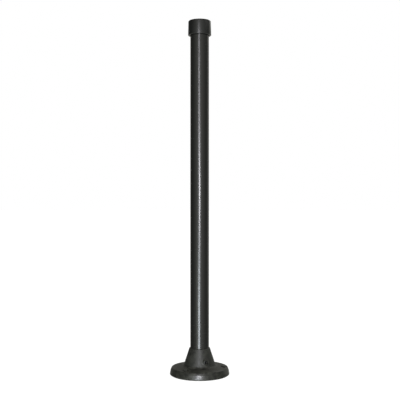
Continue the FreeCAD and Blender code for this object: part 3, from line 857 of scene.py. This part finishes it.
def soft_pvc():
    """Plasticised PVC, injection moulded in a lightly blasted cavity.

    It is softer and duller than the coat: a fine even grain, a cloudy bloom where plasticiser
    has come to the surface, and a little dust that the tacky crown holds.
    """
    material, tree, output = new_material("moulded_soft_pvc")
    place = add_node(tree, "ShaderNodeTexCoord").outputs["Object"]
    bloom = add_node(
        tree, "ShaderNodeTexNoise", {"Vector": place, "Scale": per_metre(16), "Detail": 4.0}
    ).outputs[0]
    # Grain of a blasted mould is near 0.1 mm: drawn 0.9 mm wide so that it shows.
    grain = add_node(
        tree, "ShaderNodeTexNoise", {"Vector": place, "Scale": per_metre(0.9), "Detail": 2.0}
    ).outputs[0]
    normal = add_node(tree, "ShaderNodeNewGeometry").outputs["Normal"]
    up = add_node(tree, "ShaderNodeSeparateXYZ", {"Vector": normal}).outputs["Z"]
    lint = add_node(
        tree, "ShaderNodeTexNoise", {"Vector": place, "Scale": per_metre(3), "Detail": 8.0}
    ).outputs[0]
    settled = add_node(
        tree,
        "ShaderNodeMapRange",
        {"Value": lint, "From Min": 0.5, "From Max": 0.75, "To Min": 0.0, "To Max": 0.35},
    ).outputs[0]
    facing_up = add_node(
        tree, "ShaderNodeMapRange", {"Value": up, "From Min": 0.6, "From Max": 1.0}
    ).outputs[0]
    dusty = add_node(tree, "ShaderNodeMath", {0: settled, 1: facing_up}, operation="MULTIPLY").outputs[0]
    body = add_node(
        tree,
        "ShaderNodeMix",
        {0: bloom, 6: srgb("#030405"), 7: srgb("#080A0A")},
        data_type="RGBA",
    ).outputs[2]
    color = add_node(
        tree, "ShaderNodeMix", {0: dusty, 6: body, 7: srgb("#5E5B55")}, data_type="RGBA"
    ).outputs[2]
    rough = add_node(
        tree,
        "ShaderNodeMapRange",
        {"Value": bloom, "From Min": 0.3, "From Max": 0.7, "To Min": 0.28, "To Max": 0.32},
    ).outputs[0]
    bump = add_node(
        tree, "ShaderNodeBump", {"Height": grain, "Distance": 0.005 * MM, "Strength": 1.0}
    ).outputs[0]
    add_node(
        tree,
        "ShaderNodeBsdfPrincipled",
        {"Base Color": color, "Roughness": rough, "IOR": 1.5, "Normal": bump},
        to=output.inputs["Surface"],
    )
    return material


def cast_iron_paint():
    """Grey iron cast in green sand, shot-blasted and brushed with black alkyd enamel.

    The paint rounds over the sand's grain without hiding it, so the glint breaks up; it lies
    wetter and glossier on the rim, gathers floor dust on its flat top and wears thin at edges.
    The pale dust on the flat top is also painted light: it lifts the top to stand in for light
    falling on it.
    """
    material, tree, output = new_material("enamelled_sand_cast_iron")
    place = add_node(tree, "ShaderNodeTexCoord").outputs["Object"]
    geometry = add_node(tree, "ShaderNodeNewGeometry").outputs
    # Sand grains of 0.3 mm leave pits of about 1.2 mm once blasted and painted.
    pits = add_node(
        tree, "ShaderNodeTexNoise", {"Vector": place, "Scale": per_metre(1.2), "Detail": 3.0}
    ).outputs[0]
    # Patches where the mould washed or the paint lies thin, 9 mm and up.
    patch = add_node(
        tree,
        "ShaderNodeTexNoise",
        {"Vector": place, "Scale": per_metre(9), "Detail": 5.0, "Distortion": 0.6},
    ).outputs[0]
    up = add_node(tree, "ShaderNodeSeparateXYZ", {"Vector": geometry["Normal"]}).outputs["Z"]
    # Dust on faces that look up, which is also painted light: the pale colour laid there stands in for
    # light falling on the flat top.
    dust_and_light_facing_up = add_node(
        tree, "ShaderNodeMapRange", {"Value": up, "From Min": 0.55, "From Max": 0.98}
    ).outputs[0]
    settled = add_node(
        tree,
        "ShaderNodeMapRange",
        {"Value": patch, "From Min": 0.35, "From Max": 0.70, "To Min": 0.25, "To Max": 1.0},
    ).outputs[0]
    dusty = add_node(tree, "ShaderNodeMath", {0: dust_and_light_facing_up, 1: settled}, operation="MULTIPLY").outputs[0]
    # Paint worn through on proud edges shows dull brown-grey iron.
    worn = add_node(
        tree,
        "ShaderNodeMapRange",
        {"Value": geometry["Pointiness"], "From Min": 0.56, "From Max": 0.62},
    ).outputs[0]
    chipped = add_node(
        tree,
        "ShaderNodeMapRange",
        {"Value": pits, "From Min": 0.52, "From Max": 0.60},
    ).outputs[0]
    bare = add_node(tree, "ShaderNodeMath", {0: worn, 1: chipped}, operation="MULTIPLY").outputs[0]
    thin = add_node(
        tree, "ShaderNodeMapRange", {"Value": patch, "From Min": 0.35, "From Max": 0.65}
    ).outputs[0]
    paint = add_node(
        tree,
        "ShaderNodeMix",
        {0: thin, 6: srgb("#0C0D0B"), 7: srgb("#252621")},
        data_type="RGBA",
    ).outputs[2]
    # Mixes in the pale dust and painted top light, at 0.21 of full strength where faces look up.
    with_dust_and_painted_light = add_node(
        tree,
        "ShaderNodeMix",
        {
            0: add_node(tree, "ShaderNodeMath", {0: dusty, 1: 0.21}, operation="MULTIPLY").outputs[0],
            6: paint,
            7: srgb("#74736A"),
        },
        data_type="RGBA",
    ).outputs[2]
    color = add_node(
        tree, "ShaderNodeMix", {0: bare, 6: with_dust_and_painted_light, 7: srgb("#4B423B")}, data_type="RGBA"
    ).outputs[2]
    # The rim, below its rounded edge, took the most paint.
    height = add_node(tree, "ShaderNodeSeparateXYZ", {"Vector": place}).outputs["Z"]
    rough = add_node(
        tree,
        "ShaderNodeMapRange",
        {"Value": height, "From Min": 0.017, "From Max": 0.022, "To Min": 0.275, "To Max": 0.43},
    ).outputs[0]
    for mark, added in ((thin, 0.14), (dusty, 0.10)):
        rough = add_node(
            tree, "ShaderNodeMath", {0: mark, 1: added, 2: rough}, operation="MULTIPLY_ADD"
        ).outputs[0]
    bump = add_node(
        tree, "ShaderNodeBump", {"Height": pits, "Distance": 0.05 * MM, "Strength": 1.0}
    ).outputs[0]
    bump = add_node(
        tree, "ShaderNodeBump", {"Height": patch, "Distance": 0.10 * MM, "Strength": 1.0, "Normal": bump}
    ).outputs[0]
    add_node(
        tree,
        "ShaderNodeBsdfPrincipled",
        {"Base Color": color, "Roughness": rough, "IOR": 1.5, "Normal": bump},
        to=output.inputs["Surface"],
    )
    return material


def floor_rubber():
    """EPDM rubber, extruded and vulcanised: near black, matt, with a little chalky dust rubbed in."""
    material, tree, output = new_material("extruded_epdm_rubber")
    place = add_node(tree, "ShaderNodeTexCoord").outputs["Object"]
    chalk = add_node(
        tree, "ShaderNodeTexNoise", {"Vector": place, "Scale": per_metre(7), "Detail": 6.0}
    ).outputs[0]
    grain = add_node(
        tree, "ShaderNodeTexNoise", {"Vector": place, "Scale": per_metre(0.8), "Detail": 2.0}
    ).outputs[0]
    color = add_node(
        tree, "ShaderNodeMix", {0: chalk, 6: srgb("#101010"), 7: srgb("#2A2927")}, data_type="RGBA"
    ).outputs[2]
    rough = add_node(
        tree,
        "ShaderNodeMapRange",
        {"Value": chalk, "From Min": 0.3, "From Max": 0.7, "To Min": 0.62, "To Max": 0.78},
    ).outputs[0]
    bump = add_node(
        tree, "ShaderNodeBump", {"Height": grain, "Distance": 0.03 * MM, "Strength": 1.0}
    ).outputs[0]
    add_node(
        tree,
        "ShaderNodeBsdfPrincipled",
        {"Base Color": color, "Roughness": rough, "IOR": 1.52, "Normal": bump},
        to=output.inputs["Surface"],
    )
    return material


def blackened_steel():
    """Alloy steel with a hot black oxide, oiled: dark metal with a low, slightly patchy gleam."""
    material, tree, output = new_material("black_oxide_alloy_steel")
    place = add_node(tree, "ShaderNodeTexCoord").outputs["Object"]
    oxide = add_node(
        tree, "ShaderNodeTexNoise", {"Vector": place, "Scale": per_metre(1.6), "Detail": 4.0}
    ).outputs[0]
    color = add_node(
        tree, "ShaderNodeMix", {0: oxide, 6: srgb("#26272A"), 7: srgb("#4A4A4C")}, data_type="RGBA"
    ).outputs[2]
    rough = add_node(
        tree,
        "ShaderNodeMapRange",
        {"Value": oxide, "From Min": 0.3, "From Max": 0.7, "To Min": 0.32, "To Max": 0.46},
    ).outputs[0]
    add_node(
        tree,
        "ShaderNodeBsdfPrincipled",
        {"Base Color": color, "Metallic": 1.0, "Roughness": rough},
        to=output.inputs["Surface"],
    )
    return material


make_camera()
make_studio()
make_floor()
make_casting(cast_iron_paint())
make_floor_ring(floor_rubber())
make_post(powder_coat())
make_cap(soft_pvc())
make_screws(blackened_steel())
